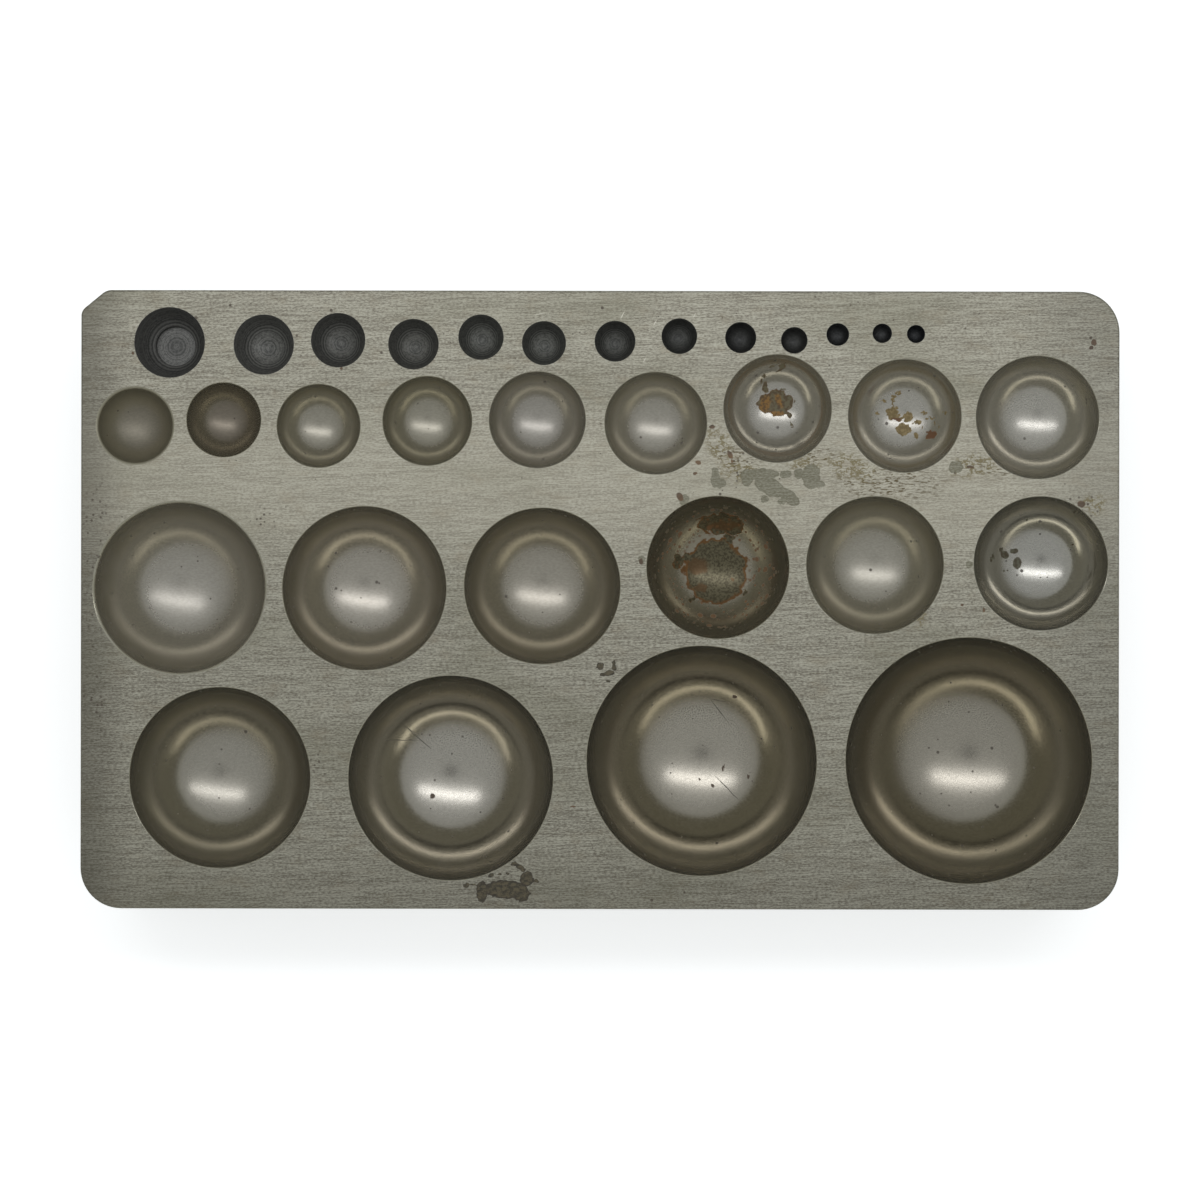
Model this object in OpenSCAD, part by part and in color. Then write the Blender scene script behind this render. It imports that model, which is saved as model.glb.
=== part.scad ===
// Dapping block: one solid bar of steel with four rows of half-ball cups sunk
// into its top face, for doming sheet metal under round-headed punches.
// The origin is the centre of the underside. +X runs to the right along the
// rows, +Y to the back edge with the drilled row, and +Z up out of the cups.

/* [Block] */
// Length, along the rows
block_l = 160; // [152:0.5:240]
// Width, across the rows
block_w = 95.3; // [93:0.1:140]
// Thickness
block_t = 25; // [22:0.5:50]
// Radius of the three rounded corners
corner_r = 6.3; // [1:0.1:12]
// Flat ground on the back left corner, along the length
flat_l = 3.9; // [1:0.1:8]
// Flat ground on the back left corner, across the width
flat_w = 3.2; // [1:0.1:8]
// Bevel broken along the top and bottom edges
edge_bevel = 0.3; // [0.1:0.05:1]
// Bevel broken round the mouth of each polished cup
rim_bevel = 0.15; // [0.05:0.05:0.4]

/* [Drilled row] */
// From the back edge to the line that the cups are drilled along
drilled_line = 7.5; // [7:0.1:8]
// From the left end to the first cup
drilled_left = 8.2; // [1:0.1:20]
// From the last cup to the right end
drilled_right = 30; // [1:0.5:40]
// Straight wall above the round bottom of each cup
drilled_neck = 1; // [0:0.1:4]
// Bore of the flat-bottomed drill that left its ring in the first cup
pilot_d = 6.2; // [2:0.1:8]
// Mouth of each cup, left to right
drilled_mouths = [10.9, 9.3, 8.4, 7.8, 7, 6.8, 6.3, 5.5, 4.8, 4.1, 3.5, 3, 2.8]; // [2:0.1:11]
// Land from each cup to the next, as marked out by hand
drilled_lands = [4.4, 2.6, 3.5, 3, 2.8, 4.4, 4, 4.3, 3.8, 2.9, 3.6, 2.3]; // [1:0.1:6]
// How far each cup strays from the line, towards the front
drilled_strays = [0.6, 0.9, 0.2, 0.8, -0.3, 0.6, 0.3, -0.5, -0.3, 0.1, -0.8, -1, -0.9]; // [-1:0.1:1]

/* [Small row] */
// From the back edge to the line of the cup centres
small_line = 20; // [19.5:0.1:20.5]
// From the left end to the first cup
small_left = 2.3; // [1:0.1:5]
// From the last cup to the right end
small_right = 3.1; // [1:0.1:5]
// Mouth of each cup, left to right
small_mouths = [12.1, 11.6, 13, 13.9, 15, 15.9, 16.8, 17.6, 19.1]; // [10:0.1:20]
// Land from each cup to the next
small_lands = [1.8, 2.3, 3.3, 2.5, 2.8, 2.4, 2.4, 2.1]; // [1:0.1:4]
// How far each cup strays from the line, towards the front
small_strays = [0.9, 0, 0.9, 0.1, -0.1, 0.4, -1.9, -0.8, -0.6]; // [-2:0.1:2]

/* [Middle row] */
// From the back edge to the line of the cup centres
middle_line = 44; // [43.5:0.1:44.5]
// From the left end to the first cup
middle_left = 1.8; // [1:0.1:5]
// From the last cup to the right end
middle_right = 1.7; // [1:0.1:5]
// Mouth of each cup, left to right
middle_mouths = [26.9, 25.4, 24.2, 22.1, 21.3, 20.8]; // [18:0.1:28]
// Land from each cup to the next
middle_lands = [2.3, 2.6, 3.9, 2.5, 4.5]; // [1:0.1:5]
// How far each cup strays from the line, towards the front
middle_strays = [1.9, 1.9, 1.5, -1.4, -1.8, -2.1]; // [-2.5:0.1:2.5]

/* [Large row] */
// From the front edge to the line of the cup centres
large_line = 21.6; // [21:0.1:22]
// From the left end to the first cup
large_left = 7.5; // [1:0.1:10]
// From the last cup to the right end
large_right = 4.1; // [1:0.1:10]
// Mouth of each cup, left to right
large_mouths = [28, 31.7, 35.6, 38.1]; // [24:0.1:40]
// Land from each cup to the next
large_lands = [5.7, 5, 4.3]; // [1:0.1:8]
// How far each cup strays from the line, towards the front
large_strays = [1.4, 1.4, -1.3, -1.4]; // [-2:0.1:2]

/* [Hidden] */
$fn = 96;
// Overshoot that carries each cut clear of the face it starts from
over = 1;
steel = "#8a877d";

// Sum of the first n values of a list
function sum_of(values, n) = n == 0 ? 0 : values[n - 1] + sum_of(values, n - 1);

// Centre of cup i along a row: the cups keep their mouths and the two end
// margins hold, and the lands share what is left in the marked proportions.
function centre_x(i, mouths, lands, left, right) =
    let (
        free = block_l - left - right - sum_of(mouths, len(mouths)),
        land_scale = free / sum_of(lands, len(lands))
    )
    -block_l / 2 + left + sum_of(mouths, i) + mouths[i] / 2 + land_scale * sum_of(lands, i);

// Bevelled cross-section of a bar that is as wide as stated
module bar_section(width) {
    polygon([
        [-width / 2 + edge_bevel, 0],
        [width / 2 - edge_bevel, 0],
        [width / 2, edge_bevel],
        [width / 2, block_t - edge_bevel],
        [width / 2 - edge_bevel, block_t],
        [-width / 2 + edge_bevel, block_t],
        [-width / 2, block_t - edge_bevel],
        [-width / 2, edge_bevel]
    ]);
}

// Square bar with all its top and bottom edges broken
module bar() {
    intersection() {
        rotate([90, 0, 90]) linear_extrude(block_l, center = true) bar_section(block_w);
        rotate([90, 0, 0]) linear_extrude(block_w, center = true) bar_section(block_l);
    }
}

// What is ground off the corner on the +X +Y side to leave it round
module round_corner_waste() {
    translate([block_l / 2 - corner_r, block_w / 2 - corner_r, 0]) difference() {
        translate([0, 0, -over]) cube([corner_r + over, corner_r + over, block_t + 2 * over]);
        rotate_extrude() intersection() {
            bar_section(2 * corner_r);
            square([corner_r, block_t]);
        }
    }
}

// What is ground off the back left corner to leave it flat
module flat_corner_waste() {
    slant = atan2(flat_w, flat_l);
    reach = norm([flat_l, flat_w]) + 2 * over;
    translate([-block_l / 2 + flat_l / 2, block_w / 2 - flat_w / 2, 0])
        rotate([90, 0, slant - 90]) linear_extrude(reach, center = true)
            polygon([
                [edge_bevel + over, block_t + over],
                [0, block_t - edge_bevel],
                [0, edge_bevel],
                [edge_bevel + over, -over],
                [-reach, -over],
                [-reach, block_t + over]
            ]);
}

// Cutter for a half-ball cup with its rim broken, its mouth on the plane z = 0
module polished_cutter(mouth) {
    ball_r = mouth / 2 - rim_bevel;
    sphere(r = ball_r);
    translate([0, 0, -rim_bevel])
        cylinder(h = rim_bevel + over, r1 = ball_r, r2 = mouth / 2 + over);
}

// Cutter for a drilled cup: a straight neck over a round bottom
module drilled_cutter(mouth) {
    translate([0, 0, -drilled_neck]) {
        sphere(d = mouth);
        cylinder(h = drilled_neck + over, d = mouth);
    }
}

// Flat-bottomed hole, down to the bottom of the first drilled cup
module pilot_cutter(mouth) {
    deep = drilled_neck + mouth / 2;
    translate([0, 0, -deep]) cylinder(h = deep, d = min(pilot_d, mouth));
}

module polished_row(line_y, mouths, lands, strays, left, right) {
    for (i = [0 : len(mouths) - 1])
        translate([centre_x(i, mouths, lands, left, right), line_y - strays[i], block_t])
            polished_cutter(mouths[i]);
}

module drilled_row() {
    line_y = block_w / 2 - drilled_line;
    for (i = [0 : len(drilled_mouths) - 1])
        translate([
            centre_x(i, drilled_mouths, drilled_lands, drilled_left, drilled_right),
            line_y - drilled_strays[i],
            block_t
        ]) {
            drilled_cutter(drilled_mouths[i]);
            if (i == 0) pilot_cutter(drilled_mouths[i]);
        }
}

// The block itself
module block() {
    color(steel) difference() {
        bar();
        round_corner_waste();
        mirror([0, 1, 0]) round_corner_waste();
        mirror([1, 0, 0]) mirror([0, 1, 0]) round_corner_waste();
        flat_corner_waste();
        drilled_row();
        polished_row(block_w / 2 - small_line,
            small_mouths, small_lands, small_strays, small_left, small_right);
        polished_row(block_w / 2 - middle_line,
            middle_mouths, middle_lands, middle_strays, middle_left, middle_right);
        polished_row(-block_w / 2 + large_line,
            large_mouths, large_lands, large_strays, large_left, large_right);
    }
}

block();
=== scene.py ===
import math

import bmesh
import bpy
import numpy as np
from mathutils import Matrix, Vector


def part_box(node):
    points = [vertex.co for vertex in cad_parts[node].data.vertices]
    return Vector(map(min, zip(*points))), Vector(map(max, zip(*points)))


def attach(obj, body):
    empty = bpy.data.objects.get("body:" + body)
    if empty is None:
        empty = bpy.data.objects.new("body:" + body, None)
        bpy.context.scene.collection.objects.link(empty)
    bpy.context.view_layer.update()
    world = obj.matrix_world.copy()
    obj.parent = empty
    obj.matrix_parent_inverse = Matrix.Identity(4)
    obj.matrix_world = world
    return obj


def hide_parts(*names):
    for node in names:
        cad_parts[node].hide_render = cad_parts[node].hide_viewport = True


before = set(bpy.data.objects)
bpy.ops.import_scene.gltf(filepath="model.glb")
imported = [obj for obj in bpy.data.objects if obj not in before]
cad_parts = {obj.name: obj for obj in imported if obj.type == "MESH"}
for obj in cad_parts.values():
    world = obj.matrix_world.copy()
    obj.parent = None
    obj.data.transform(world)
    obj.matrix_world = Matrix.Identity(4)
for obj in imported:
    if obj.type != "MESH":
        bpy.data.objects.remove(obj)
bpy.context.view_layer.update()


# The bar
# A flat bar of tool steel, sawn off and ground square on all sides, with three corners filed
# round and the back left one ground off flat. A file has broken all its edges.
MM = 0.001
bar_low, bar_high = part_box("block")
bar_length, bar_width, bar_thick = bar_high - bar_low
face_z = bar_high.z
corner_radius = 6.3 * MM
corner_segments = 14
flat_along = 3.9 * MM
flat_across = 3.2 * MM
flat_worn = 0.7 * MM
flat_segments = 4
edge_round = 0.3 * MM
edge_segments = 4
# Two points closer than this count as level with each other
level = 0.01 * MM
# The finishes of the bar's faces, in the order of its materials
FACE, POLISHED, DRILLED, SIDE, RUSTED, SPECKLED, FILMED, FLECKED = range(8)


def pick(piece, kind, wanted):
    """Selects the verts, edges or faces of a piece in edit mode that wanted says yes to."""
    bpy.ops.mesh.select_all(action="DESELECT")
    grid = bmesh.from_edit_mesh(piece.data)
    for item in getattr(grid, kind):
        if wanted(item):
            item.select_set(True)
    bmesh.update_edit_mesh(piece.data)


def keep_place(piece):
    """Moves a piece's place, turn and scale into its mesh."""
    bpy.ops.object.mode_set(mode="OBJECT")
    bpy.ops.object.select_all(action="DESELECT")
    piece.select_set(True)
    bpy.context.view_layer.objects.active = piece
    bpy.ops.object.transform_apply(location=True, rotation=True, scale=True)


bpy.ops.object.select_all(action="DESELECT")
bpy.ops.mesh.primitive_cube_add(size=1, location=(bar_low + bar_high) / 2)
block = bpy.context.object
block.name = "steel_block"
block.scale = (bar_length, bar_width, bar_thick)
keep_place(block)


def upright_edge(edge, back_left):
    """The upright edges: those of the back left corner, or those of the other three."""
    a, b = (v.co for v in edge.verts)
    return abs(a.z - b.z) > bar_thick / 2 and (a.x < 0 and a.y > 0) == back_left


def face_outline(edge):
    """The edges round the top face and round the underside."""
    a, b = (v.co.z for v in edge.verts)
    return abs(a - b) < level


bpy.ops.object.mode_set(mode="EDIT")
bpy.ops.mesh.select_mode(type="EDGE")
pick(block, "edges", lambda edge: upright_edge(edge, back_left=False))
bpy.ops.mesh.bevel(offset=corner_radius, segments=corner_segments, affect="EDGES")
bpy.ops.mesh.select_all(action="SELECT")
bpy.ops.mesh.bisect(
    plane_co=(-bar_length / 2 + flat_along, bar_width / 2, 0),
    plane_no=Vector((-flat_across, flat_along, 0)).normalized(),
    threshold=level,
    use_fill=True,
    clear_outer=True,
)
pick(block, "edges", lambda edge: upright_edge(edge, back_left=True))
bpy.ops.mesh.bevel(offset=flat_worn, segments=flat_segments, affect="EDGES")
pick(block, "edges", face_outline)
bpy.ops.mesh.bevel(offset=edge_round, segments=edge_segments, affect="EDGES")
bpy.ops.object.mode_set(mode="OBJECT")


# The drilled row
# Thirteen small cups along the back edge, sunk with ball-ended drills and left as the tool
# cut them, so they are dull and dark. The first was opened with a flat-bottomed drill.
drilled_row = dict(
    line=bar_width / 2 - 7.5 * MM,
    left=8.2, right=30,
    mouths=[10.9, 9.3, 8.4, 7.8, 7, 6.8, 6.3, 5.5, 4.8, 4.1, 3.5, 3, 2.8],
    lands=[4.4, 2.6, 3.5, 3, 2.8, 4.4, 4, 4.3, 3.8, 2.9, 3.6, 2.3],
    strays=[0.6, 0.9, 0.2, 0.8, -0.3, 0.6, 0.3, -0.5, -0.3, 0.1, -0.8, -1, -0.9],
    steels=["#7d7b76", "#87857f", "#7e7c76", "#7e7c75", "#7c7b74", "#7a7972", "#6d6c66", "#605f5a",
            "#504f4c", "#54534f", "#484847", "#484847", "#3c3d3e"],
    roughs=13 * [0.5],
    metals=13 * [0.35],
    finishes=13 * [DRILLED],
)
drilled_neck = 1 * MM
drilled_rim = 0.08 * MM
pilot_bore = 6.2 * MM
drilled_segments = 48
cutter_rise = 1 * MM
rim_steps = 3
# The rounding of a rim stops short of lying flat, and its last step runs on past the face, so
# that it crosses the face cleanly and no point lies right on it
rim_turn = math.radians(76)
run_on = 1.5
# Two points closer than this are one point
one_point = 0.001 * MM


def set_out(row):
    """Centre x, centre y and mouth radius of each cup along a row, in metres."""
    mouths, lands = row["mouths"], row["lands"]
    free = bar_length / MM - row["left"] - row["right"] - sum(mouths)
    land_scale = free / sum(lands)
    places = []
    for i, mouth in enumerate(mouths):
        x = row["left"] + sum(mouths[:i]) + mouth / 2 + land_scale * sum(lands[:i])
        places.append((x * MM - bar_length / 2, row["line"] - row["strays"][i] * MM, mouth / 2 * MM))
    return places


def turn_cutter(x, y, mouth_r, deep, neck, rim, segments, bore=0.0):
    """Spins the shape that leaves one cup: a quarter circle, its neck, and the rounding of its rim.
    A bore leaves a flat-bottomed hole of that radius in the middle."""
    ball_r = mouth_r - rim * (1 - math.cos(rim_turn))
    ball_z = face_z - neck - rim * math.sin(rim_turn)
    bpy.ops.object.select_all(action="DESELECT")
    bpy.ops.mesh.primitive_circle_add(
        vertices=segments, radius=ball_r, location=(x, y, ball_z), rotation=(math.pi / 2, 0, 0))
    cutter = bpy.context.object
    cutter.scale.y = (deep - (face_z - ball_z)) / ball_r
    keep_place(cutter)
    bpy.ops.object.mode_set(mode="EDIT")
    bpy.ops.mesh.select_mode(type="VERT")
    pick(cutter, "verts", lambda v: v.co.x < x - level or v.co.z > ball_z + level)
    bpy.ops.mesh.delete(type="VERT")
    if bore:
        bpy.ops.mesh.select_all(action="SELECT")
        bpy.ops.mesh.bisect(
            plane_co=(x + bore, y, 0), plane_no=(1, 0, 0), threshold=level, clear_inner=True)
        pick(cutter, "verts", lambda v: v.co.x < x + bore + level)
        up = min(v.co.z for v in bmesh.from_edit_mesh(cutter.data).verts) - (face_z - deep)
        for move in ((0, 0, -up), (-bore, 0, 0)):
            bpy.ops.mesh.extrude_region_move(TRANSFORM_OT_translate={"value": move})
    pick(cutter, "verts", lambda v: v.co.x > x + ball_r - level)
    steps = [(0, neck)] if neck else []
    for i in range(rim_steps):
        a, b = rim_turn * i / rim_steps, rim_turn * (i + 1) / rim_steps
        steps.append((rim * (math.cos(a) - math.cos(b)), rim * (math.sin(b) - math.sin(a))))
    out, up = steps.pop()
    steps += [(run_on * out, run_on * up), (0, cutter_rise)]
    for out, up in steps:
        bpy.ops.mesh.extrude_region_move(TRANSFORM_OT_translate={"value": (out, 0, up)})
    back_to_axis = -ball_r - sum(out for out, up in steps)
    bpy.ops.mesh.extrude_region_move(TRANSFORM_OT_translate={"value": (back_to_axis, 0, 0)})
    bpy.ops.mesh.select_all(action="SELECT")
    bpy.ops.mesh.spin(steps=segments, angle=2 * math.pi, center=(x, y, 0), axis=(0, 0, 1))
    bpy.ops.mesh.select_all(action="SELECT")
    bpy.ops.mesh.remove_doubles(threshold=one_point)
    bpy.ops.mesh.normals_make_consistent(inside=False)
    bpy.ops.object.mode_set(mode="OBJECT")
    return cutter


def cut(piece, cutter):
    """Takes the cutter's shape out of the piece."""
    bpy.ops.object.select_all(action="DESELECT")
    piece.select_set(True)
    bpy.context.view_layer.objects.active = piece
    sinking = piece.modifiers.new("sinking", "BOOLEAN")
    sinking.operation = "DIFFERENCE"
    sinking.solver = "MANIFOLD"
    sinking.object = cutter
    bpy.ops.object.modifier_apply(modifier="sinking")
    bpy.data.objects.remove(cutter)


cutters = []
for x, y, r in set_out(drilled_row):
    # Only the first was opened with the flat-bottomed drill
    bore = 0.0 if cutters else pilot_bore / 2
    cutters.append(turn_cutter(
        x, y, r, drilled_neck + r, drilled_neck, drilled_rim, drilled_segments, bore))


# The polished rows
# Nineteen half-ball cups in three rows, sunk with ball cutters, polished, and worn by the
# punches. Some have gone brown or dull, and a few have softer rims.
polished_rim = 0.15 * MM
soft_rim = 0.5 * MM
polished_segments = 96
large_segments = 120
large_radius = 12 * MM
small_row = dict(
    line=bar_width / 2 - 20 * MM,
    left=2.3, right=3.1,
    mouths=[12.1, 11.6, 13, 13.9, 15, 15.9, 16.8, 17.6, 19.1],
    lands=[1.8, 2.3, 3.3, 2.5, 2.8, 2.4, 2.4, 2.1],
    strays=[0.9, 0, 0.9, 0.1, -0.1, 0.4, -1.9, -0.8, -0.6],
    steels=["#8f887a", "#81786b", "#a29c8f", "#a19b8d", "#a8a299", "#aaa499", "#b2ada4", "#b3aea5",
            "#b3aea5"],
    roughs=[0.44, 0.3, 0.26, 0.25, 0.26, 0.26, 0.19, 0.22, 0.2],
    metals=[0.8, 0.8, 0.79, 0.78, 0.75, 0.75, 0.72, 0.76, 0.78],
    rims=[soft_rim] + 8 * [polished_rim],
    finishes=6 * [POLISHED] + [RUSTED, SPECKLED, POLISHED],
)
middle_row = dict(
    line=bar_width / 2 - 44 * MM,
    left=1.8, right=1.7,
    mouths=[26.9, 25.4, 24.2, 22.1, 21.3, 20.8],
    lands=[2.3, 2.6, 3.9, 2.5, 4.5],
    strays=[1.9, 1.9, 1.5, -1.4, -1.8, -2.1],
    steels=["#aca69c", "#ada69b", "#a8a195", "#9d9687", "#aaa498", "#afaba3"],
    roughs=[0.26, 0.23, 0.24, 0.26, 0.26, 0.17],
    metals=[0.78, 0.86, 0.88, 0.88, 0.82, 0.88],
    rims=[soft_rim] + 5 * [polished_rim],
    finishes=3 * [POLISHED] + [FILMED, POLISHED, FLECKED],
)
large_row = dict(
    line=-bar_width / 2 + 21.6 * MM,
    left=7.5, right=4.1,
    mouths=[28, 31.7, 35.6, 38.1],
    lands=[5.7, 5, 4.3],
    strays=[1.4, 1.4, -1.3, -1.4],
    steels=["#a59f94", "#aea89e", "#a9a296", "#a39c90"],
    roughs=[0.22, 0.18, 0.19, 0.2],
    metals=[0.93, 0.97, 1.0, 1.0],
    rims=4 * [polished_rim],
    finishes=4 * [POLISHED],
)
for row in (small_row, middle_row, large_row):
    for i, (x, y, r) in enumerate(set_out(row)):
        segments = large_segments if r > large_radius else polished_segments
        cutters.append(turn_cutter(x, y, r, r - polished_rim, 0, row["rims"][i], segments))

bpy.ops.object.select_all(action="DESELECT")
for cutter in cutters:
    cutter.select_set(True)
bpy.context.view_layer.objects.active = cutters[0]
bpy.ops.object.join()
cut(block, cutters[0])

# The face left round the cups is split into triangles and kept flat up to its edges
flat_up = 0.999
smooth_under = math.radians(40)
mesh = block.data
mesh.materials.clear()
bpy.ops.object.select_all(action="DESELECT")
block.select_set(True)
bpy.context.view_layer.objects.active = block
bpy.ops.object.shade_smooth_by_angle(angle=smooth_under)
bpy.ops.object.mode_set(mode="EDIT")
bpy.ops.mesh.select_mode(type="FACE")
pick(block, "faces", lambda f: f.normal.z > flat_up and f.calc_center_median().z > face_z - level)
bpy.ops.mesh.quads_convert_to_tris(ngon_method="CLIP")
bpy.ops.mesh.region_to_loop()
bpy.ops.mesh.mark_sharp()
bpy.ops.object.mode_set(mode="OBJECT")
even = block.modifiers.new("even_shading", "WEIGHTED_NORMAL")
even.keep_sharp = True
bpy.ops.object.modifier_apply(modifier="even_shading")


# The finishes' places
# Each face of the mesh is told which finish it carries, and each point in a cup how far it is
# from the cup's axis as a share of its radius, so that patterns can run round the cup.
def read(items, what, width):
    """One array row for each item of a mesh."""
    values = np.zeros(len(items) * width)
    items.foreach_get(what, values)
    return values.reshape(-1, width)


points = read(mesh.vertices, "co", 3)
centres = read(mesh.polygons, "center", 3)
normals = read(mesh.polygons, "normal", 3)
loop_point = read(mesh.loops, "vertex_index", 1).astype(int)[:, 0]
loop_face = np.repeat(np.arange(len(centres)), read(mesh.polygons, "loop_total", 1).astype(int)[:, 0])

# A face looks up or down if the upright part of its normal is larger than this
looks_up = 0.7
face_finish = np.full(len(centres), SIDE)
on_top = (normals[:, 2] > looks_up) & (centres[:, 2] > face_z - edge_round)
face_finish[on_top] = FACE
no_cup = -1
face_cup = np.full(len(centres), no_cup)
cup_place = np.zeros((len(points), 3))
cup_steel = np.zeros((len(points), 4))
cup_metal = np.zeros(len(points))
cups = []
for row in (drilled_row, small_row, middle_row, large_row):
    looks = zip(row["steels"], row["roughs"], row["metals"], row["finishes"])
    cups += [cup + look for cup, look in zip(set_out(row), looks)]


def linear(code):
    """A colour written as #rrggbb, as the linear values that a shader takes."""
    shares = [int(code[i:i + 2], 16) / 255 for i in (1, 3, 5)]
    return [s / 12.92 if s <= 0.04045 else ((s + 0.055) / 1.055) ** 2.4 for s in shares] + [1]


for number, (x, y, r, code, rough, metal, kind) in enumerate(cups):
    off = centres[:, :2] - (x, y)
    inside = (np.hypot(*off.T) < r) & (centres[:, 2] < face_z - one_point)
    inside &= centres[:, 2] > bar_low.z + level
    face_finish[inside] = kind
    face_cup[inside] = number
    off = points[:, :2] - (x, y)
    near = (np.hypot(*off.T) < r + level) & (points[:, 2] > bar_low.z + level)
    cup_place[near, :2] = off[near] / r
    # The colour's fourth value holds the roughness
    cup_steel[near] = linear(code)[:3] + [rough]
    cup_metal[near] = metal
mesh.polygons.foreach_set("material_index", face_finish)
mesh.attributes.new("cup_place", "FLOAT_VECTOR", "POINT").data.foreach_set("vector", cup_place.ravel())
mesh.attributes.new("cup_steel", "FLOAT_COLOR", "POINT").data.foreach_set("color", cup_steel.ravel())
mesh.attributes.new("cup_metal", "FLOAT", "POINT").data.foreach_set("value", cup_metal)

# The map for baked finishes: the top face lies flat across it, each cup opened out inside its
# own mouth, and the underside and the sides lie above, at a smaller scale.
map_width = bar_length
small_share = 0.47
map_gap = 1 * MM
spot = points[loop_point]
flat = spot[:, :2] - (bar_low.x, bar_low.y)
for number, cup in enumerate(cups):
    x, y, r = cup[:3]
    mine = face_cup[loop_face] == number
    off = spot[mine, :2] - (x, y)
    out = np.hypot(*off.T)
    lowest = spot[mine, 2].min()
    run = out + spot[mine, 2] - lowest
    shrink = run / (r + face_z - lowest) * r / np.maximum(out, level)
    flat[mine] = off * shrink[:, None] + (x - bar_low.x, y - bar_low.y)
others = face_finish[loop_face] == SIDE
facing = normals[loop_face]
strip = small_share * bar_thick + map_gap
rows_up = bar_width + map_gap
below = others & (facing[:, 2] < -looks_up)
flat[below] = small_share * (spot[below, :2] - (bar_low.x, bar_low.y)) + (0, rows_up)
front_back = others & ~below & (abs(facing[:, 1]) >= abs(facing[:, 0]))
left_right = others & ~below & ~front_back
sides_start = small_share * bar_length + map_gap
for zone, along, sign, shelf in (
        (front_back, 0, -1, 0), (front_back, 0, 1, 1), (left_right, 1, -1, 2), (left_right, 1, 1, 3)):
    mine = zone & (facing[:, 1 - along] * sign > 0)
    flat[mine, 0] = small_share * (spot[mine, along] - bar_low[along]) + sides_start
    flat[mine, 1] = small_share * (spot[mine, 2] - bar_low.z) + rows_up + shelf * strip
mesh.uv_layers.new(name="OFBake").data.foreach_set("uv", (flat / map_width).ravel())


# The ground face
# The top is steel ground flat on a surface grinder along its length and rubbed down by hand. To
# the eye it is warm grey with fine level streaks, and it has olive stains, rust and dark pits.
def feed(tree, made, inputs):
    """Gives a node its inputs. An input is a value, a colour written as #rrggbb, another node's
    output, or another node, whose first output is meant."""
    for key, value in inputs.items():
        if isinstance(value, bpy.types.Node):
            value = value.outputs[0]
        if isinstance(value, bpy.types.NodeSocket):
            tree.links.new(value, made.inputs[key])
        else:
            made.inputs[key].default_value = linear(value) if isinstance(value, str) else value


def node(tree, kind, inputs=None, **settings):
    """Adds a node with its settings and its inputs."""
    made = tree.nodes.new("ShaderNode" + kind)
    for name, value in settings.items():
        setattr(made, name, value)
    feed(tree, made, inputs or {})
    return made


def steel_finish(name):
    """A new material, with its tree, its shader and the place of each point in millimetres."""
    made = bpy.data.materials.new(name)
    made.use_nodes = True
    tree = made.node_tree
    tree.nodes.clear()
    shader = node(tree, "BsdfPrincipled")
    node(tree, "OutputMaterial", {"Surface": shader})
    point = node(tree, "TexCoord").outputs["Object"]
    point = node(tree, "VectorMath", {0: point, "Scale": 1 / MM}, operation="SCALE")
    return made, tree, shader, point


def where(tree, *limits):
    """How much of something there is at each point: a share for each limit, all multiplied.
    A limit is a pattern, the two values of it that the share changes between, and the shares at
    those two, which are 0 and 1 where they aren't given."""
    share = None
    for pattern, start, end, *shares in limits:
        at_start, at_end = shares or (0, 1)
        own = node(tree, "MapRange", {0: pattern, 1: start, 2: end, 3: at_start, 4: at_end},
                   interpolation_type="SMOOTHSTEP")
        share = own if share is None else node(tree, "Math", {0: share, 1: own}, operation="MULTIPLY")
    return share


def recolour(tree, colour, other, *limits):
    """A colour that goes over into the other one as the limits are passed."""
    share = where(tree, *limits)
    return node(tree, "Mix", {0: share, 6: colour, 7: other}, data_type="RGBA").outputs[2]


def coat(tree, finish, share, colour, rough, metal):
    """Lays a stain over a finish where share is 1. A finish is its colour, roughness and metallic."""
    return (
        node(tree, "Mix", {0: share, 6: finish[0], 7: colour}, data_type="RGBA").outputs[2],
        node(tree, "Mix", {0: share, 2: finish[1], 3: rough}),
        node(tree, "Mix", {0: share, 2: finish[2], 3: metal}),
    )


def put_on(tree, shader, finish, height, relief):
    """Gives a shader its finish, and a height map with that relief in metres."""
    bump = node(tree, "Bump", {"Height": height, "Distance": relief, "Strength": 1.0})
    feed(tree, shader, {"Base Color": finish[0], "Roughness": finish[1], "Metallic": finish[2],
                        "Normal": bump})


def weigh(tree, *parts):
    """Adds up patterns, each with its own weight."""
    total = 0
    for pattern, weight in parts:
        total = node(tree, "Math", {0: pattern, 1: weight, 2: total}, operation="MULTIPLY_ADD")
    return total


def grain(tree, point, size, detail=2.0, rough=0.5):
    """Noise of 0 to 1 with lumps of the given size along x, y and z, in millimetres.
    Where z isn't given, it is as y."""
    lumps = node(tree, "Mapping", {"Vector": point, "Scale": (1 / size[0], 1 / size[1], 1 / size[-1])})
    return node(tree, "TexNoise", {"Vector": lumps, "Scale": 1.0, "Detail": detail, "Roughness": rough})


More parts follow.
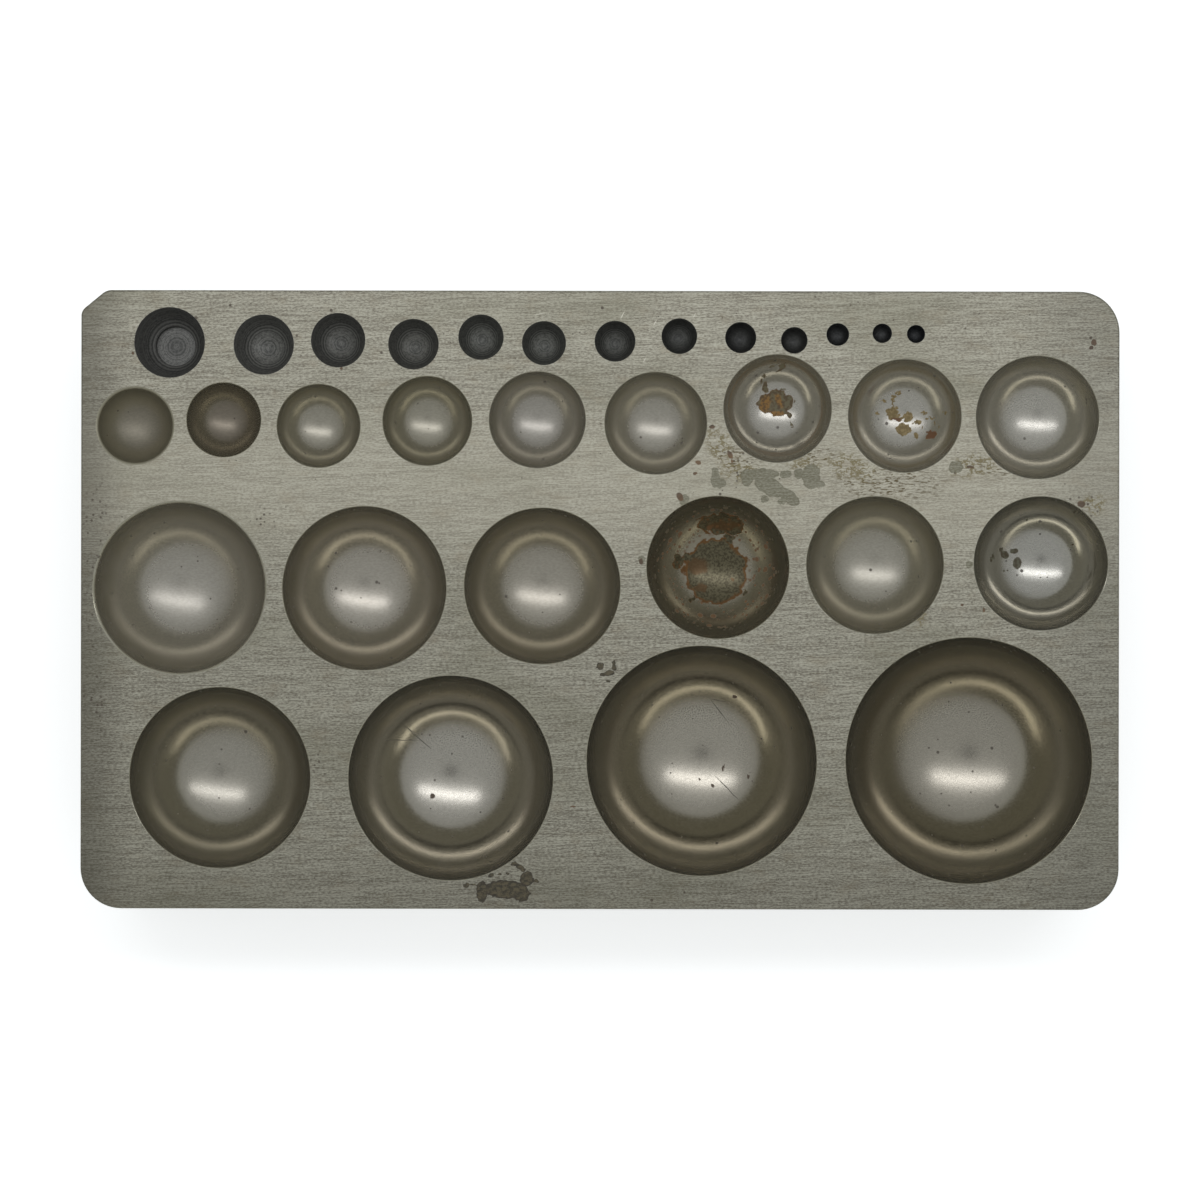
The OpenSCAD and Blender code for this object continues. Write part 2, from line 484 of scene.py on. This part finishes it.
def spots(tree, point, places, ragged=0.0, lump=1.0):
    """How far each point is from the nearest of the spots: under 1 inside one.
    A spot is its x, y, half length, half width and turn, in millimetres and degrees. Ragged is
    how far its edge strays in millimetres, and lump how long the stretches are that stray."""
    if ragged:
        shake = node(tree, "TexNoise", {"Vector": point, "Scale": 1 / lump, "Detail": 3.0}).outputs[1]
        shake = node(tree, "VectorMath", {0: shake, 1: (0.5, 0.5, 0.5)}, operation="SUBTRACT")
        shake = node(tree, "VectorMath", {0: shake, "Scale": 2 * ragged}, operation="SCALE")
        point = node(tree, "VectorMath", {0: point, 1: shake})
    # A spot runs right through the bar, so that it doesn't end with the depth
    endless = 1e6
    nearest = None
    for x, y, half_long, half_wide, turned in places:
        own = node(tree, "Mapping", {
            "Vector": point,
            "Location": (x, y, 0),
            "Rotation": (0, 0, math.radians(turned)),
            "Scale": (half_long, half_wide, endless),
        }, vector_type="TEXTURE")
        off = node(tree, "VectorMath", {0: own}, operation="LENGTH").outputs["Value"]
        nearest = off if nearest is None else node(tree, "Math", {0: nearest, 1: off}, operation="MINIMUM")
    return nearest


def pits(tree, point, strength, *kinds):
    """Small round dots of the given strength, scattered over cells that hold one at most. A kind
    of dot is the size of its cells, its radius, and the share of the cells that have one."""
    soft_edge = 0.6
    darkest = 0
    for apart, radius, held in kinds:
        cells = node(tree, "TexVoronoi", {"Vector": point, "Scale": 1 / apart}).outputs
        edge = radius / apart
        dot = where(tree, (cells["Distance"], edge, soft_edge * edge, 0, strength))
        picked = node(tree, "SeparateColor", {0: cells["Color"]})
        picked = node(tree, "Math", {0: picked, 1: held}, operation="LESS_THAN")
        dot = node(tree, "Math", {0: dot, 1: picked}, operation="MULTIPLY")
        darkest = node(tree, "Math", {0: darkest, 1: dot}, operation="MAXIMUM")
    return darkest


ground_steel, tree, shader, point = steel_finish("ground_face_steel")
# The wheel's lines rise a little to the right. Real ones are a few hundredths of a millimetre
# wide, and these are drawn as coarse as they need to be to show.
wheel_tilt = math.radians(-1.5)
wheel_relief = 0.010 * MM
tilted = node(tree, "Mapping", {"Vector": point, "Rotation": (0, 0, wheel_tilt)})
lines = grain(tree, tilted, (3.0, 0.15))
bands = grain(tree, tilted, (22, 0.7))
speckle = grain(tree, tilted, (0.5, 0.2), detail=3.0, rough=0.65)
mixed = weigh(tree, (lines, 0.3), (bands, 0.1), (speckle, 0.6))
colour = recolour(tree, "#716b5f", "#aeaa9b", (mixed, 0.38, 0.62))
# Broad clouds where the steel has gone greener or browner
clouds = grain(tree, point, (26, 14), detail=3.0)
colour = recolour(tree, colour, "#75725f", (clouds, 0.45, 0.75, 0, 0.4))
mottle = grain(tree, point, (4.5, 2.5), detail=4.0, rough=0.6)
colour = recolour(tree, colour, "#867a66", (mottle, 0.5, 0.8, 0, 0.4))
# The face is drawn brighter between the small and the middle row and darker at both ends. The
# darker front edge is painted shade, where the lamp's light falls off towards the front. The limits
# are places in millimetres from the middle.
along, across, _ = node(tree, "SeparateXYZ", {0: point}).outputs
colour = recolour(tree, colour, "#c2bba9", (across, 2, 14, 0, 0.22), (across, 34, 22))
colour = recolour(tree, colour, "#4f4b42", (along, -71, -80, 0, 0.5))
# Painted shade along the front edge, where the lamp's light falls off
colour = recolour(tree, colour, "#4f4b42", (across, -36, -46, 0, 0.18))
colour = recolour(tree, colour, "#4f4f4a", (along, 62, 76, 0, 0.2))
finish = (colour, where(tree, (speckle, 0.2, 0.8, 0.46, 0.58)), 0.95)

# Fine bright scratches, and dark pits that crowd together in a few places
scratch_places = [
    (-60.1, 34.5, 0.6, 0.07, 0), (3.4, 43.9, 0.8, 0.08, 62), (8.4, 42.7, 0.6, 0.08, 60),
    (14.5, 43.9, 0.5, 0.08, 62), (6.8, 37.0, 0.5, 0.08, 60), (-70.5, 42.3, 2.2, 0.06, 4),
    (-9.5, 44.0, 1.1, 0.06, 12), (-31.5, 42.6, 1.0, 0.06, 5),
]
scratches = where(tree, (spots(tree, point, scratch_places), 1.2, 0.4, 0, 0.5))
finish = coat(tree, finish, scratches, "#cbc6b8", rough=0.35, metal=1.0)
crowded_places = [
    (-77.8, 6, 2.2, 14, 0), (-78, -16, 2, 6, 0), (-52, 12, 2.5, 2.2, 0), (-43, -24.5, 2, 2.8, 0),
    (22, 21, 4, 3.5, 0), (74, 14.5, 4, 2, 0),
]
crowded = where(tree, (spots(tree, point, crowded_places, ragged=1.5, lump=3.0), 1.3, 0.5))
crowd = pits(tree, point, 0.75, (0.7, 0.24, 0.5))
crowd = node(tree, "Math", {0: crowd, 1: crowded}, operation="MULTIPLY")
dark = pits(tree, point, 0.75, (2.6, 0.3, 0.12), (1.1, 0.14, 0.14))
dark = node(tree, "Math", {0: dark, 1: crowd}, operation="MAXIMUM")
finish = coat(tree, finish, dark, "#43362b", rough=0.6, metal=0.3)

# Level brown flecks etched along the grinding lines under small cups 7 to 9
etched_places = [(44, 18, 10, 3.5, 0), (62, 20.5, 4, 2, 0), (21, 21.5, 5, 2.5, -20), (33, 22.5, 4, 1.5, 0)]
etched = spots(tree, point, etched_places, ragged=1.5, lump=3.0)
flecks = grain(tree, tilted, (0.9, 0.22), detail=3.0, rough=0.6)
flecks = where(tree, (flecks, 0.53, 0.61), (etched, 1.2, 0.4))
finish = coat(tree, finish, flecks, "#5f5238", rough=0.6, metal=0.3)

# A web of thin olive-brown lines beside them, where a wet film dried out. Its lines lie where the
# noise crosses its middle value.
web_places = [
    (18.4, 23.8, 2.2, 3.6, 20), (21.2, 19.8, 3.2, 2.0, 0), (38.5, 20.5, 4.5, 2.2, -15),
    (57.5, 20.8, 4.0, 2.0, 10), (31.5, 21.0, 3.0, 1.2, 0), (12.6, 22.5, 1.0, 1.4, 0),
    (76.0, 15.0, 2.0, 1.6, 0), (49.0, -1.5, 1.5, 3.0, 0),
]
webbed = spots(tree, point, web_places, ragged=1.2, lump=2.5)
web = grain(tree, point, (1.5, 1.1), detail=3.0, rough=0.6)
web = node(tree, "Math", {0: web, 1: 0.5}, operation="SUBTRACT")
web = node(tree, "Math", {0: web}, operation="ABSOLUTE")
web = where(tree, (web, 0.055, 0.015, 0, 0.85), (webbed, 1.25, 0.5))
finish = coat(tree, finish, web, "#766a48", rough=0.6, metal=0.3)

# Thin olive-grey films with ragged borders, where flux or damp work has lain
film_places = [
    (17.7, 18.9, 0.7, 1.5, 0), (18.4, 18.0, 1.0, 0.7, 0), (22.6, 18.9, 0.9, 1.4, 0),
    (24.8, 19.4, 2.6, 0.9, 0), (26.1, 17.5, 2.5, 1.3, -25), (29.1, 15.9, 1.8, 1.0, -40),
    (25.3, 15.6, 0.6, 0.6, 0), (28.0, 15.2, 0.7, 0.5, 0), (28.5, 19.4, 0.9, 0.6, 0),
    (30.5, 19.5, 0.7, 0.8, 0), (32.5, 19.1, 1.4, 1.9, 0), (33.0, 17.9, 1.7, 0.6, 0),
    (12.8, 15.5, 0.8, 0.8, 0), (54.8, 20.6, 1.1, 0.9, 30), (6.4, 6.2, 0.5, 0.7, 0),
    (56.9, 5.6, 0.5, 0.5, 0),
]
film = spots(tree, point, film_places, ragged=0.4, lump=0.9)
film_colour = recolour(tree, "#66624f", "#858170", (mixed, 0.4, 0.6))
film_colour = recolour(tree, film_colour, "#5d5844", (film, 0.8, 1.0, 0, 0.5))
film = where(tree, (film, 1.06, 0.98, 0, 0.85))
finish = coat(tree, finish, film, film_colour, rough=0.55, metal=0.4)

# Olive-brown stains on the front edge and between the large cups, with dark borders
stain_places = [
    (-14.4, -44.6, 3.3, 1.4, 0), (-18.1, -45.0, 0.9, 1.6, 0), (-12.0, -45.2, 1.3, 1.2, 0),
    (-11.2, -43.0, 1.1, 1.1, 0), (-12.2, -41.2, 0.9, 0.4, -40), (-13.1, -40.7, 0.5, 0.4, 0),
    (-20.5, -43.9, 0.5, 0.4, 0), (-19.4, -43.9, 0.7, 0.14, 0), (-16.7, -42.4, 0.4, 0.25, 0),
    (-15.4, -42.2, 0.35, 0.22, 0), (-14.1, -42.1, 0.35, 0.2, 0), (-9.8, -43.3, 0.4, 0.3, 0),
    (0.1, -10.2, 0.6, 0.5, 0), (1.1, -11.3, 1.1, 0.4, 10), (2.2, -10.0, 0.3, 0.8, 0),
    (1.4, -12.5, 0.25, 0.25, 0),
]
stain = spots(tree, point, stain_places, ragged=0.45, lump=0.8)
stain_grain = grain(tree, point, (0.6, 0.45), detail=4.0, rough=0.7)
stain_colour = recolour(tree, "#2b2516", "#564c36", (stain_grain, 0.38, 0.62))
stain_colour = recolour(tree, stain_colour, "#2a2016", (stain, 0.75, 1.0, 0, 0.8))
stain = where(tree, (stain, 1.06, 0.98, 0, 0.95))
finish = coat(tree, finish, stain, stain_colour, rough=0.65, metal=0.1)

# Spots of rust, from dark maroon to tan
rust_places = [
    (15.1, 21.2, 0.45, 0.3, -20), (14.6, 19.5, 0.35, 0.25, 20), (12.3, 15.9, 0.45, 0.7, 30),
    (17.2, 26.7, 0.4, 0.3, 0), (20.0, 22.4, 0.35, 0.7, 25), (20.3, 21.4, 0.2, 0.25, 0),
    (57.0, 20.6, 0.6, 0.2, 0), (76.0, 39.8, 0.4, 0.5, 0), (-72.0, 37.9, 0.22, 0.2, 0),
    (-39.9, 35.6, 0.22, 0.22, 0), (59.1, -1.4, 0.2, 0.35, 0), (55.8, -0.7, 0.2, 0.2, 0),
    (74.1, 14.9, 0.6, 0.5, 0), (6.3, 6.0, 0.3, 0.45, 0), (-4.1, -31.8, 0.45, 0.12, 0),
    (75.6, 39.0, 0.3, 0.25, 0),
]
rust = where(tree, (spots(tree, point, rust_places, ragged=0.2, lump=0.5), 1.15, 0.9, 0, 0.9))
rust_colour = recolour(tree, "#4a382a", "#6e5236", (mottle, 0.35, 0.7))
finish = coat(tree, finish, rust, rust_colour, rough=0.7, metal=0.0)
put_on(tree, shader, finish, mixed, wheel_relief)


# The polished cups' finish
# The cups are steel cut with ball cutters and polished: grey where one reflection shows, and
# more golden with each further reflection, with fine pits and a browner band inside the rim.
def radius_share(tree):
    """How far each point of a cup is from the cup's axis, as a share of the mouth's radius."""
    place = node(tree, "Attribute", attribute_name="cup_place").outputs["Vector"]
    return node(tree, "VectorMath", {0: place}, operation="LENGTH").outputs["Value"]


def polished_steel(name):
    """The finish that all polished cups share, and the parts that stains are laid on."""
    made, tree, shader, point = steel_finish(name)
    own_steel = node(tree, "Attribute", attribute_name="cup_steel").outputs
    metal = node(tree, "Attribute", attribute_name="cup_metal").outputs["Fac"]
    out = radius_share(tree)
    haze = grain(tree, point, (3.5, 3.5))
    speckle = grain(tree, point, (0.5, 0.25))
    shade = recolour(tree, "#f0f0f0", "#ffffff", (speckle, 0.3, 0.7))
    colour = node(tree, "Mix", {0: 1.0, 6: own_steel["Color"], 7: shade},
                  data_type="RGBA", blend_type="MULTIPLY").outputs[2]
    colour = recolour(tree, colour, "#aaa58c", (out, 0.42, 0.85, 0, 0.3))
    colour = recolour(tree, colour, "#98937f", (out, 0.80, 0.92), (haze, 0.3, 0.6, 0.2, 0.6))
    # The punches have worn the bottom finely dull, so its highlight is soft. The wall keeps its
    # polish and shows crisp arcs of light.
    worn = where(tree, (grain(tree, point, (0.2, 0.15), detail=1.0), 0.3, 0.7, 0.05, 0.11))
    worn = node(tree, "Math", {0: own_steel["Alpha"], 1: worn}, operation="ADD")
    wall = where(tree, (speckle, 0.3, 0.7, -0.08, -0.02))
    wall = node(tree, "Math", {0: own_steel["Alpha"], 1: wall}, operation="ADD")
    rough = node(tree, "Mix", {0: where(tree, (out, 0.42, 0.62)), 2: worn, 3: wall})
    # The last of the wall below the rim is a little duller too
    rim_metal = where(tree, (out, 0.75, 0.92, 1.0, 0.84))
    metal = node(tree, "Math", {0: metal, 1: rim_metal}, operation="MINIMUM")
    dark = pits(tree, point, 0.7, (1.6, 0.2, 0.4), (3.0, 0.32, 0.3))
    finish = coat(tree, (colour, rough, metal), dark, "#3a3028", rough=0.6, metal=0.3)
    return made, tree, shader, point, finish, haze


def from_centre(tree, point, row, number, off_x, off_y):
    """The place of each point in millimetres from a spot near the centre of one cup of a row."""
    x, y = set_out(row)[number - 1][:2]
    middle = (x / MM + off_x, y / MM + off_y, 0)
    return node(tree, "VectorMath", {0: point, 1: middle}, operation="SUBTRACT")


def raised(tree, haze, stain):
    """The waves of a cup, with its stain standing up from the steel."""
    bare = where(tree, (stain, 0.9, 1.0))
    return node(tree, "Math", {0: haze, 1: bare}, operation="SUBTRACT")


# How deep the polishing left its faint waves
polish_relief = 0.012 * MM
bright_steel, tree, shader, point, finish, haze = polished_steel("polished_cup_steel")
# Large cups 2 and 3 have hair-fine dark scratches and a few brown specks in their bottoms
hair_places = [
    (20.5, -30.2, 2.5, 0.07, -45), (19.2, -17.8, 2.3, 0.05, -52), (19.2, -16.1, 1.5, 0.05, -10),
    (-28.7, -22.2, 2.2, 0.06, -43), (-31.4, -22.3, 2.6, 0.05, -3), (-30.0, -20.8, 1.2, 0.05, -35),
]
hairs = where(tree, (spots(tree, point, hair_places, ragged=0.15, lump=1.5), 1.4, 0.6, 0, 0.8))
finish = coat(tree, finish, hairs, "#3d3a34", rough=0.5, metal=0.5)
speck_places = [
    (19.9, -26.9, 0.16, 0.7, -20), (-26.7, -31.4, 0.35, 0.4, 0), (21.5, -15.4, 0.4, 0.25, 0),
    (16.1, -28.8, 0.25, 0.2, 0), (18.2, -29.8, 0.2, 0.25, 0), (23.8, -28.2, 0.2, 0.3, 0),
]
specks = where(tree, (spots(tree, point, speck_places, ragged=0.35, lump=0.5), 1.15, 0.8, 0, 0.9))
finish = coat(tree, finish, specks, "#4d3a28", rough=0.6, metal=0.1)
put_on(tree, shader, finish, haze, polish_relief)

# Small cup 7 has a patch of rust in its bottom, orange on the left and olive on the right
rusted_steel, tree, shader, point, finish, haze = polished_steel("rusted_cup_steel")
home = from_centre(tree, point, small_row, 7, 0.5, 0.6)
rust_places = [
    (-1.9, 0.8, 1.2, 1.4, 0), (-0.1, 1.3, 1.7, 1.7, 0), (1.3, 0.9, 1.1, 1.2, 0),
    (0.2, -0.5, 1.7, 0.7, -5), (-1.9, 3.3, 0.5, 0.9, 0), (0.9, 2.9, 0.5, 0.15, 0),
    (1.9, -1.1, 0.35, 0.5, 20), (2.2, -2.4, 0.1, 0.6, 25), (0.5, 6.3, 0.5, 0.35, 20),
    (-2.2, 5.0, 0.3, 0.4, -30), (0.0, 5.7, 0.5, 0.15, 30), (2.7, 1.1, 0.15, 0.15, 0),
    (-2.6, 4.2, 0.15, 0.3, 0), (2.4, -3.1, 0.12, 0.12, 0), (-1.2, 6.2, 0.5, 0.15, 15),
]
rust = spots(tree, home, rust_places, ragged=0.6, lump=0.9)
orange_places = [(-1.9, 0.8, 0.9, 1.5, -15), (0.3, 1.2, 0.5, 1.2, 25), (-0.2, -0.7, 1.6, 0.35, -5)]
orange = spots(tree, home, orange_places, ragged=0.6, lump=0.7)
rust_colour = recolour(tree, "#6d654d", "#8f6a36", (orange, 1.3, 0.6))
flecks = grain(tree, point, (0.5, 0.5), detail=3.0, rough=0.6)
rust_colour = recolour(tree, rust_colour, "#54412c", (flecks, 0.46, 0.6, 0, 0.8))
rust_colour = recolour(tree, rust_colour, "#6b4c2c", (rust, 0.8, 1.0, 0, 0.6))
finish = coat(tree, finish, where(tree, (rust, 1.04, 0.97)), rust_colour, rough=0.7, metal=0.0)
put_on(tree, shader, finish, raised(tree, haze, rust), polish_relief)

# Small cup 8 has a trail of mustard-coloured rust spots
speckled_steel, tree, shader, point, finish, haze = polished_steel("speckled_cup_steel")
home = from_centre(tree, point, small_row, 8, 1.0, 0.6)
rust_places = [
    (-1.9, 0.4, 1.0, 1.1, 0), (0.5, -0.2, 0.8, 0.8, 0), (-0.8, -0.5, 0.6, 0.35, 0),
    (-0.2, -2.1, 1.2, 0.95, 0), (1.8, -1.1, 0.6, 0.35, 0), (2.9, 0.4, 0.3, 0.25, 0),
    (3.4, -0.5, 0.22, 0.22, 0), (4.1, -0.3, 0.22, 0.25, 0), (4.5, -1.3, 0.2, 0.25, 0),
    (5.1, -2.0, 0.2, 0.2, 0), (2.5, -1.8, 0.15, 0.15, 0), (3.9, -3.1, 0.75, 0.6, 30),
    (1.8, -3.2, 0.4, 0.5, 0), (-1.1, 3.6, 0.4, 0.25, 0), (-1.9, 2.3, 0.13, 0.9, 0),
    (-3.3, 2.3, 0.45, 0.2, 15), (-4.3, 0.4, 0.25, 0.25, 0), (6.0, 0.3, 0.25, 0.25, 0),
    (-1.9, 3.0, 0.2, 0.3, 0),
]
rust = spots(tree, home, rust_places, ragged=0.75, lump=0.6)
flecks = grain(tree, point, (0.5, 0.5), detail=3.0, rough=0.6)
rust_colour = recolour(tree, "#77653f", "#927f58", (flecks, 0.4, 0.65))
orange_places = [(3.9, -3.1, 1.0, 0.9, 0), (-1.3, -0.6, 0.8, 0.4, 0)]
orange = spots(tree, home, orange_places, ragged=0.4, lump=0.7)
rust_colour = recolour(tree, rust_colour, "#6b4a30", (orange, 1.2, 0.7))
finish = coat(tree, finish, where(tree, (rust, 1.05, 0.95)), rust_colour, rough=0.6, metal=0.1)
put_on(tree, shader, finish, raised(tree, haze, rust), polish_relief)

# Middle cup 4 has a dark film with a rusty border over its bottom, another above it, and dots of
# rust in a ring round them
filmed_steel, tree, shader, point, finish, haze = polished_steel("filmed_cup_steel")
home = from_centre(tree, point, middle_row, 4, 0.5, 0.1)
film_places = [
    (-0.4, -0.6, 5.0, 5.2, 0), (-6.1, 1.0, 1.0, 1.1, 0), (0.2, 6.8, 3.6, 1.5, 0),
    (1.8, 4.6, 1.0, 0.8, 0), (-4.9, 1.6, 1.2, 0.8, 0), (-3.9, -5.0, 0.4, 0.5, 0),
    (4.0, -4.2, 0.4, 0.5, 0), (2.7, 6.5, 1.2, 1.2, 0),
]
film = spots(tree, home, film_places, ragged=1.3, lump=1.5)
flecks = grain(tree, point, (0.35, 0.35), detail=3.0, rough=0.6)
film_colour = recolour(tree, "#463f2d", "#655e48", (flecks, 0.38, 0.62))
brown_places = [
    (-3.3, 0.2, 1.7, 1.3, 0), (1.0, 6.6, 2.8, 0.7, 0), (-2.6, -3.2, 1.0, 0.6, 0),
    (2.4, -2.0, 0.5, 0.4, 0),
]
brown = spots(tree, home, brown_places, ragged=0.8, lump=0.9)
film_colour = recolour(tree, film_colour, "#5a4227", (brown, 1.3, 0.7, 0, 0.8))
film_colour = recolour(tree, film_colour, "#704a22", (film, 0.88, 0.97, 0, 0.8))
finish = coat(tree, finish, where(tree, (film, 1.03, 0.98)), film_colour, rough=0.3, metal=0.62)
out = radius_share(tree)
ring = where(tree, (out, 0.42, 0.55), (out, 0.92, 0.8))
dots = pits(tree, point, 0.85, (0.8, 0.3, 0.7), (1.7, 0.55, 0.5))
dots = node(tree, "Math", {0: dots, 1: ring}, operation="MULTIPLY")
finish = coat(tree, finish, dots, "#6f4a26", rough=0.7, metal=0.1)
put_on(tree, shader, finish, raised(tree, haze, film), polish_relief)

# Middle cup 6 has three olive-brown flecks on the left, and a few specks
flecked_steel, tree, shader, point, finish, haze = polished_steel("flecked_cup_steel")
home = from_centre(tree, point, middle_row, 6, 1.5, 0.2)
fleck_places = [
    (-5.6, 1.3, 0.75, 0.6, -30), (-4.0, 1.9, 0.7, 0.4, 10), (-3.5, 0.0, 0.7, 0.9, 0),
    (-6.2, 2.1, 0.3, 0.4, -30), (-7.6, 1.0, 0.25, 0.5, 20), (-7.9, 0.5, 0.2, 0.4, 0),
    (-5.7, -1.2, 0.2, 0.2, 0), (-5.1, -1.2, 0.15, 0.15, 0), (-2.4, 6.8, 0.22, 0.2, 0),
    (4.3, 7.8, 0.2, 0.2, 0), (0.2, -2.2, 0.15, 0.1, 0), (4.8, 2.9, 0.2, 0.15, 0),
]
flecks = spots(tree, home, fleck_places, ragged=0.2, lump=0.5)
fleck_grain = grain(tree, point, (0.5, 0.5), detail=3.0)
fleck_colour = recolour(tree, "#4c4230", "#63604f", (fleck_grain, 0.4, 0.6))
finish = coat(tree, finish, where(tree, (flecks, 1.08, 0.95)), fleck_colour, rough=0.5, metal=0.2)
put_on(tree, shader, finish, raised(tree, haze, flecks), polish_relief)


# The drilled cups' finish
# Bare tool cuts that were never polished and have gone nearly black, with fine rings where
# the drill turned, and a floor that is a little lighter than the wall, but for its middle.
ring_count = 22
cut_relief = 0.03 * MM
dull_steel, tree, shader, point = steel_finish("drilled_cup_steel")
own_steel = node(tree, "Attribute", attribute_name="cup_steel").outputs
metal = node(tree, "Attribute", attribute_name="cup_metal").outputs["Fac"]
out = radius_share(tree)
mottle = grain(tree, point, (0.35, 0.35), detail=4.0, rough=0.6)
turns = node(tree, "Math", {0: out, 1: ring_count}, operation="MULTIPLY")
rings = node(tree, "TexNoise", {"W": turns, "Scale": 1.0, "Detail": 3.0}, noise_dimensions="1D")
cuts = weigh(tree, (rings, 0.55), (mottle, 0.45))
shade = recolour(tree, "#a8a8a8", "#ffffff", (cuts, 0.4, 0.6))
wall_shade = recolour(tree, "#d0d0d0", "#ffffff", (out, 0.8, 0.4))
floor_shade = recolour(tree, "#ffffff", "#dadada", (out, 0.45, 0.15))
colour = own_steel["Color"]
for layer in (shade, wall_shade, floor_shade):
    colour = node(tree, "Mix", {0: 1.0, 6: colour, 7: layer},
                  data_type="RGBA", blend_type="MULTIPLY").outputs[2]
put_on(tree, shader, (colour, own_steel["Alpha"], metal), cuts, cut_relief)


# The sides and the underside
# Sawn and ground faces that were left plainer than the top, a little darker, with the
# grinder's lines running level round the sides and lengthwise on the underside.
side_relief = 0.015 * MM
side_steel, tree, shader, point = steel_finish("ground_side_steel")
side_lines = grain(tree, point, (2.5, 2.5, 0.12), detail=3.0)
under_lines = grain(tree, point, (4.0, 0.14), detail=3.0)
height = node(tree, "SeparateXYZ", {0: point}).outputs["Z"]
lines = node(tree, "Mix", {0: where(tree, (height, 0.1, 0.3)), 2: under_lines, 3: side_lines})
clouds = grain(tree, point, (12, 9), detail=3.0)
colour = recolour(tree, "#6c6a5f", "#969286", (lines, 0.35, 0.65))
colour = recolour(tree, colour, "#6a675a", (clouds, 0.4, 0.7, 0, 0.3))
put_on(tree, shader, (colour, 0.42, 1.0), lines, side_relief)

# In the order of the finishes' numbers
for material in (
        ground_steel, bright_steel, dull_steel, side_steel, rusted_steel, speckled_steel, filmed_steel,
        flecked_steel):
    mesh.materials.append(material)
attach(block, "root")
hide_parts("block")


# The floor
# A plain pale table top. Where the camera or a reflection sees it, it shows white, and it
# keeps the block's shadow.
floor_size = 8.0
floor_glow = 0.55
bpy.ops.object.select_all(action="DESELECT")
bpy.ops.mesh.primitive_plane_add(size=floor_size, location=(0, 0, bar_low.z))
floor = bpy.context.object
floor.name = "floor"
paint = bpy.data.materials.new("white_table_top")
paint.use_nodes = True
tree = paint.node_tree
tree.nodes.clear()
seen = node(tree, "LightPath").outputs
seen = node(tree, "Math", {0: seen["Is Camera Ray"], 1: seen["Is Glossy Ray"]}, operation="MAXIMUM")
glow = node(tree, "Math", {0: seen, 1: floor_glow}, operation="MULTIPLY")
glow = node(tree, "Emission", {"Strength": glow})
top = node(tree, "BsdfDiffuse", {"Color": "#e8e8e8"})
both = node(tree, "AddShader", {0: top, 1: glow})
node(tree, "OutputMaterial", {"Surface": both})
floor.data.materials.append(paint)


# The light
# A soft room light from all round, and one long narrow lamp a little behind the back edge, which
# the cups show as a bar.
lamp_right = 8 * MM
lamp_back = 82 * MM
lamp_up = 250 * MM
lamp_long = 385 * MM
lamp_wide = 42 * MM
lamp_watts = 0.22
lamp_colour = (0.97, 1.0, 1.05)
room_colour = (0.57, 0.6, 0.605, 1)
lamp = bpy.data.objects.new("lamp", bpy.data.lights.new("lamp", "AREA"))
bpy.context.scene.collection.objects.link(lamp)
lamp.data.shape = "RECTANGLE"
lamp.data.size = lamp_long
lamp.data.size_y = lamp_wide
lamp.data.energy = lamp_watts
lamp.data.color = lamp_colour
lamp.location = (lamp_right, lamp_back, face_z + lamp_up)
lamp.rotation_euler = (Vector((0, 0, face_z)) - lamp.location).to_track_quat("-Z", "Y").to_euler()

world = bpy.data.worlds.new("room")
bpy.context.scene.world = world
world.use_nodes = True
world.node_tree.nodes["Background"].inputs[0].default_value = room_colour


# The camera
# It looks straight down from 385 mm over the face, and the frame is 184.8 mm wide there.
camera_up = 385 * MM
camera_turn = math.radians(0.1)
frame_wide = 184.8 * MM
sensor = 36.0
camera = bpy.data.objects.new("camera", bpy.data.cameras.new("camera"))
bpy.context.scene.collection.objects.link(camera)
camera.data.sensor_width = sensor
camera.data.lens = sensor * camera_up / frame_wide
camera.location = (0, 0, face_z + camera_up)
camera.rotation_euler = (0, 0, camera_turn)
bpy.context.scene.camera = camera

# A small dark card beside the lens, which the cups show as a spot
card_long = 90 * MM
card_wide = 75 * MM
card_front = 50 * MM
bpy.ops.mesh.primitive_plane_add(size=1, location=(0, -card_front, face_z + camera_up))
card = bpy.context.object
card.name = "dark_card"
card.scale = (card_long, card_wide, 1)
keep_place(card)
black = bpy.data.materials.new("black_card")
black.use_nodes = True
black.node_tree.nodes["Principled BSDF"].inputs["Base Color"].default_value = linear("#080808")
card.data.materials.append(black)
card.visible_camera = False
card.visible_shadow = False

bpy.context.scene.view_settings.view_transform = "Standard"
